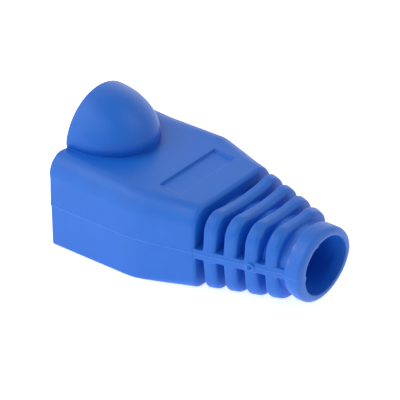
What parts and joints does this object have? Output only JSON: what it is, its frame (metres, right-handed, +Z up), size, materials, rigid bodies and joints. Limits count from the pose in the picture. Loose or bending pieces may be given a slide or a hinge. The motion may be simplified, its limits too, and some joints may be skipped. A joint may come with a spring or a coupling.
{
  "type": "cable strain relief boot",
  "caption": "Soft moulded boot for a modular plug: tapered box with a half-dome latch shield, a ribbed flexible tail and a round cable outlet.",
  "frame": {"origin": "on the flat underside, at the middle of the length and of the width", "axes": "+X along the cable bore, from the plug end to the cable end; +Z up, from the flat underside to the latch shield; +Y across the boot"},
  "size_m": [0.0246, 0.0136, 0.0129],
  "materials": {
    "soft_vinyl": "satin soft vinyl, saturated mid blue, moulded in one piece"
  },
  "bodies": {
    "root": {"strain_relief_boot": "soft_vinyl"}
  },
  "joints": []
}
